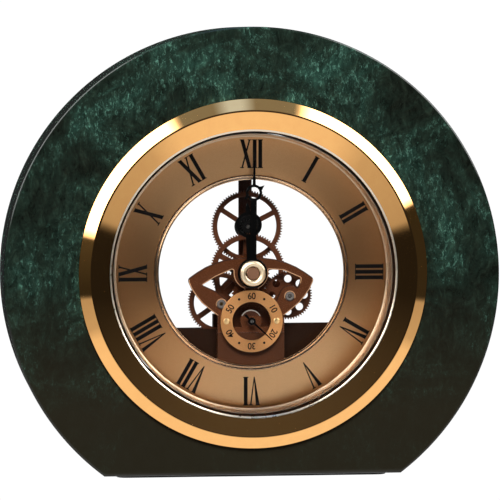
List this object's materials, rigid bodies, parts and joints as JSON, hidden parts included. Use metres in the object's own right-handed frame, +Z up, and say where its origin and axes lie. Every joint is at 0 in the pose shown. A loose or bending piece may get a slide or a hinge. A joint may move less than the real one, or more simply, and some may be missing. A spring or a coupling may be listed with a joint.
{
  "type": "skeleton clock",
  "caption": "Round marble mantel clock on a flat base, with a gilt bezel, an open-centred Roman chapter ring and a skeleton quartz movement behind glass",
  "frame": {"origin": "under the middle of the flat base, on the surface that the clock stands on", "axes": "+Z up, the dial faces -Y, +X to the right of someone who reads the dial"},
  "size_m": [0.168, 0.041, 0.152],
  "materials": {
    "marble": "polished",
    "rubber": "matt",
    "gold": "polished gilt",
    "glass": "clear",
    "dial_gold": "brushed",
    "case_plastic": "moulded",
    "copper_plastic": "copper-brown metallised",
    "black_plastic": "moulded",
    "hand_black": "gloss black",
    "steel": "bright",
    "train_brass": "turned",
    "copper_wire": "enamelled winding",
    "board": "varnished",
    "cell_jacket": "plain printed sleeve"
  },
  "bodies": {
    "root": {"marble_slab": "marble", "base_pad": "rubber", "housing_gasket": "rubber", "bezel": "gold", "reflector_ring": "gold", "ring_rivet_left": "gold", "ring_rivet_right": "gold", "front_glass": "glass", "rear_cover": "glass", "chapter_ring": "dial_gold", "seconds_ring": "dial_gold", "insert_housing": "case_plastic", "movement_ring": "case_plastic", "battery_box": "case_plastic", "front_plate": "copper_plastic", "back_plate": "copper_plastic", "cover_screw_left": "steel", "cover_screw_right": "steel", "cover_screw_top": "steel", "plate_screw_left": "steel", "plate_screw_right": "steel", "foot_screw_left": "steel", "foot_screw_right": "steel", "left_pivot_bush": "steel", "right_pivot_bush": "steel", "top_stud": "steel", "motion_stud": "steel", "stator": "steel", "quartz_crystal": "steel", "positive_contact": "steel", "negative_spring": "steel", "drive_coil": "copper_wire", "circuit_board": "board", "battery_cell": "cell_jacket"},
    "seconds_work": {"seconds_arbor": "steel", "seconds_wheel": "copper_plastic", "seconds_hand": "hand_black"},
    "third_work": {"third_arbor": "train_brass", "third_wheel": "copper_plastic"},
    "centre_work": {"centre_wheel": "copper_plastic"},
    "top_work": {"top_wheel": "copper_plastic", "top_pinion": "black_plastic"},
    "right_work": {"right_wheel": "copper_plastic", "right_arbor": "steel"},
    "intermediate_work": {"intermediate_wheel": "black_plastic"},
    "rotor_work": {"rotor_pinion": "black_plastic", "rotor_magnet": "steel"},
    "minute_work": {"centre_arbor": "steel", "cannon_pinion": "train_brass", "clutch_spring": "train_brass", "minute_hand": "hand_black", "centre_cap": "gold", "centre_nut": "copper_plastic", "set_knob": "black_plastic"},
    "motion_work": {"motion_wheel": "copper_plastic"},
    "hour_work": {"hour_wheel": "copper_plastic", "hour_hand": "hand_black"},
    "door": {"battery_door": "case_plastic"}
  },
  "joints": [
    {"name": "seconds_spin", "type": "hinge", "parent": "root", "child": "seconds_work", "pos_m": [0, 0, 0.0525], "axis": [0, 1, 0], "continuous": true},
    {"name": "third_spin", "type": "hinge", "parent": "root", "child": "third_work", "pos_m": [-0.01006, 0, 0.05818], "axis": [0, 1, 0], "continuous": true},
    {"name": "centre_wheel_spin", "type": "hinge", "parent": "root", "child": "centre_work", "pos_m": [0, 0, 0.0689], "axis": [0, 1, 0], "continuous": true},
    {"name": "top_spin", "type": "hinge", "parent": "root", "child": "top_work", "pos_m": [0, 0, 0.0839], "axis": [0, 1, 0], "continuous": true},
    {"name": "right_spin", "type": "hinge", "parent": "root", "child": "right_work", "pos_m": [0.01327, 0, 0.0607], "axis": [0, 1, 0], "continuous": true},
    {"name": "intermediate_spin", "type": "hinge", "parent": "root", "child": "intermediate_work", "pos_m": [0, 0, 0.0435], "axis": [0, 1, 0], "continuous": true},
    {"name": "rotor_spin", "type": "hinge", "parent": "root", "child": "rotor_work", "pos_m": [0, 0, 0.0351], "axis": [0, 1, 0], "continuous": true},
    {"name": "minute_spin", "type": "hinge", "parent": "root", "child": "minute_work", "pos_m": [0, 0, 0.0689], "axis": [0, 1, 0], "continuous": true},
    {"name": "motion_spin", "type": "hinge", "parent": "root", "child": "motion_work", "pos_m": [0, 0, 0.0609], "axis": [0, 1, 0], "continuous": true},
    {"name": "hour_spin", "type": "hinge", "parent": "root", "child": "hour_work", "pos_m": [0, 0, 0.0689], "axis": [0, 1, 0], "continuous": true},
    {"name": "battery_door_slide", "type": "slide", "parent": "root", "child": "door", "axis": [0, 1, 0], "range_m": [0, 0.025]}
  ],
  "couplings": [
    {"joint": "third_spin", "follows": "seconds_spin", "ratio": -0.1},
    {"joint": "centre_wheel_spin", "follows": "seconds_spin", "ratio": 0.016667},
    {"joint": "top_spin", "follows": "seconds_spin", "ratio": -0.0875},
    {"joint": "right_spin", "follows": "seconds_spin", "ratio": -0.92593},
    {"joint": "intermediate_spin", "follows": "seconds_spin", "ratio": -5},
    {"joint": "rotor_spin", "follows": "seconds_spin", "ratio": 30},
    {"joint": "motion_spin", "follows": "minute_spin", "ratio": -0.33333},
    {"joint": "hour_spin", "follows": "minute_spin", "ratio": 0.083333}
  ]
}
